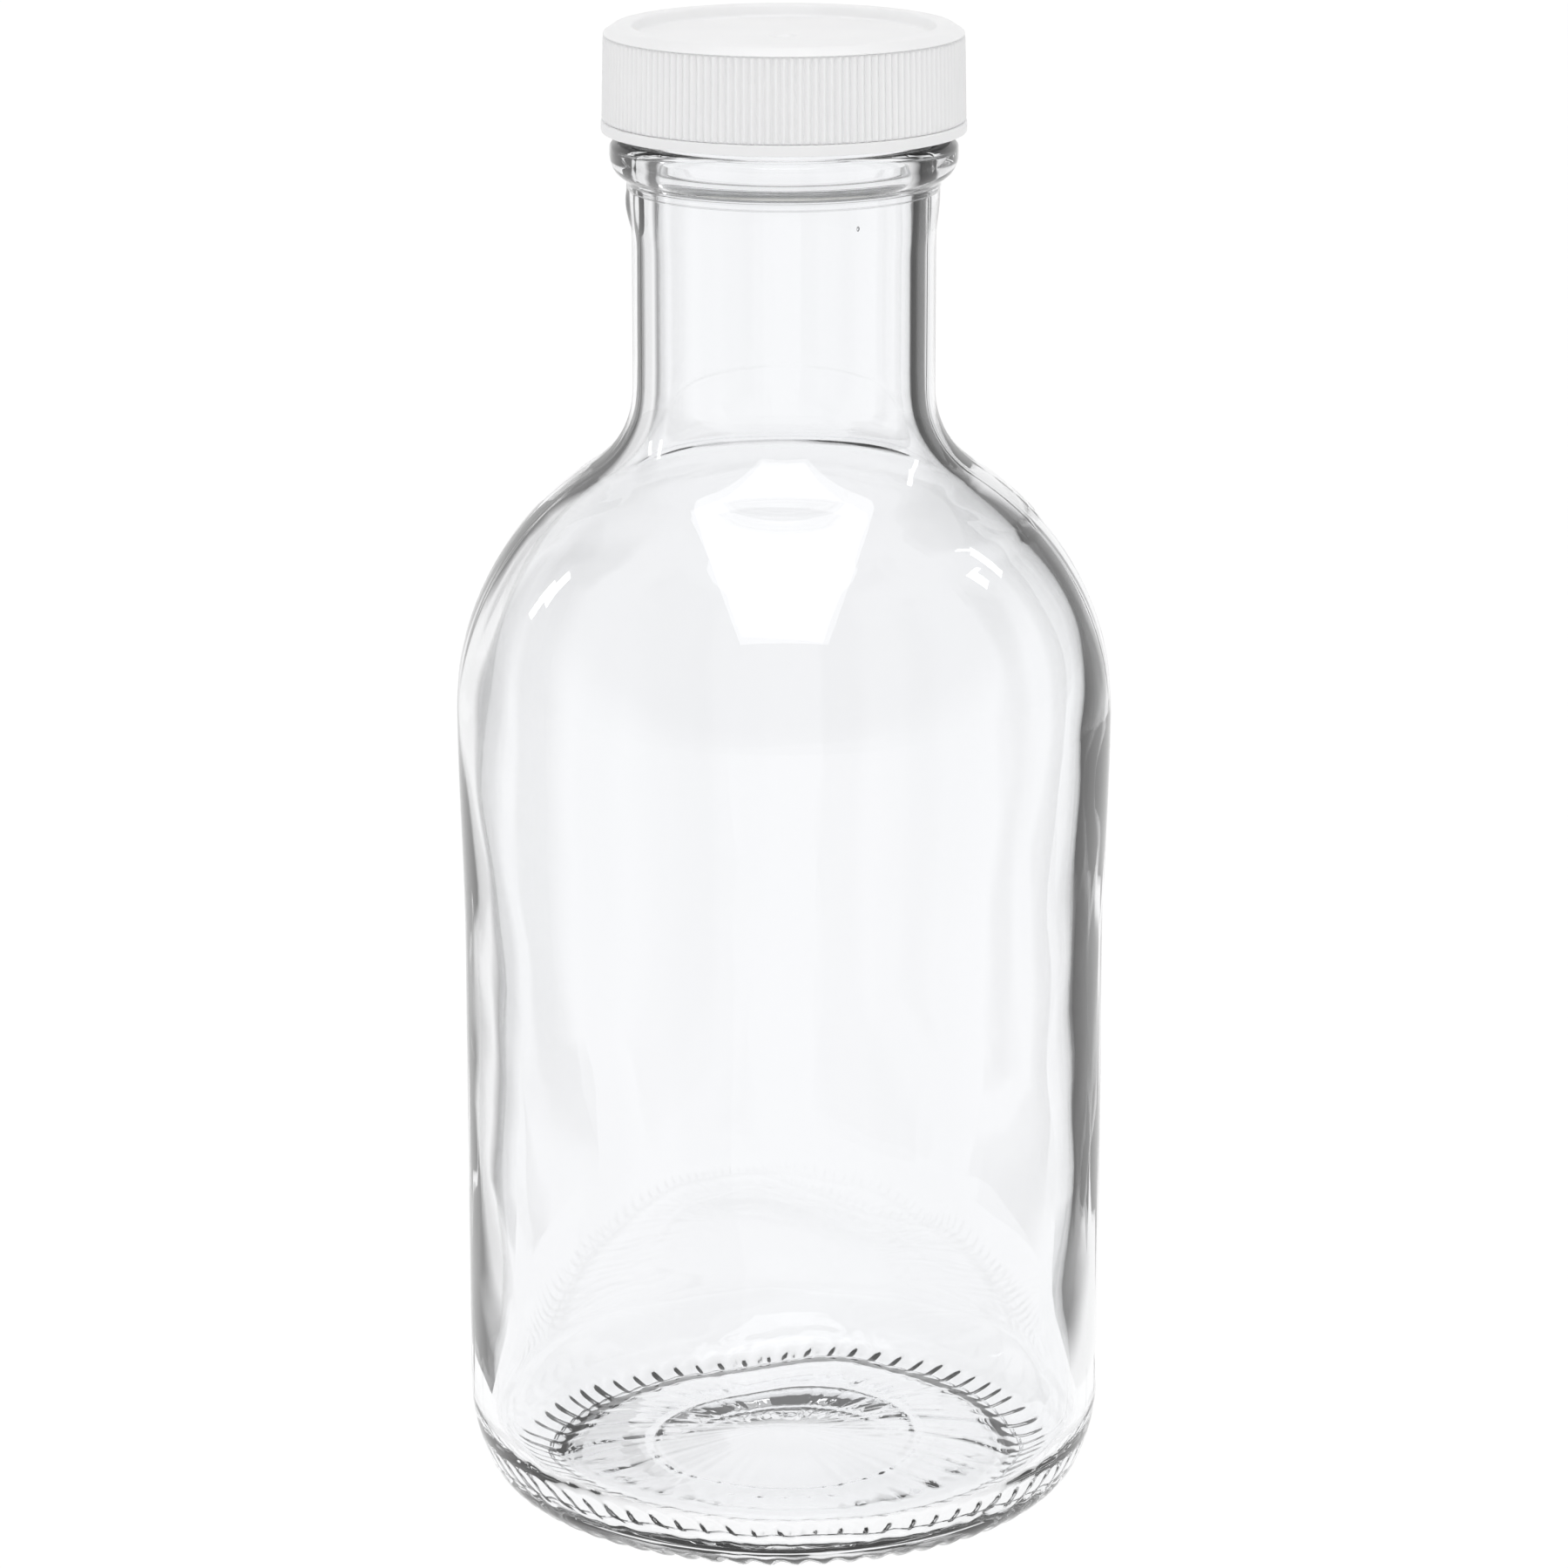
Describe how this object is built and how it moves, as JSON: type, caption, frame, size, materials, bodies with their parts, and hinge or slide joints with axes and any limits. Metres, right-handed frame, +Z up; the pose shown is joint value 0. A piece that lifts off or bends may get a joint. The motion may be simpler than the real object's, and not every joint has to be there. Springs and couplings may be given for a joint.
{
  "type": "glass bottle with screw cap",
  "caption": "Clear round glass drinks bottle with a domed shoulder, carrying bead, ribbed white screw cap and foam liner.",
  "frame": {"origin": "centre of the ring that the bottle stands on, on the bottle's axis", "axes": "+Z up along the bottle's axis towards the cap; the body is round, and the mould's parting line lies in the XZ plane"},
  "size_m": [0.0748, 0.0748, 0.1712],
  "materials": {
    "clear_glass": "clear flint glass, fire polished",
    "white_polypropylene": "satin, injection moulded",
    "white_foam": "matt foamed polyethylene"
  },
  "bodies": {
    "bottle": {"glass_bottle": "clear_glass"},
    "liner": {"cap_liner": "white_foam"},
    "cap": {"screw_cap": "white_polypropylene"}
  },
  "joints": [
    {"name": "cap_lift", "type": "slide", "parent": "bottle", "child": "liner", "axis": [0, 0, 1], "range_m": [0, 0.0128]},
    {"name": "cap_turn", "type": "hinge", "parent": "liner", "child": "cap", "pos_m": [0, 0, 0.165], "axis": [0, 0, 1], "range_deg": [0, 1080]}
  ],
  "couplings": [
    {"joint": "cap_lift", "follows": "cap_turn", "m_per_rad": 0.00067375}
  ]
}
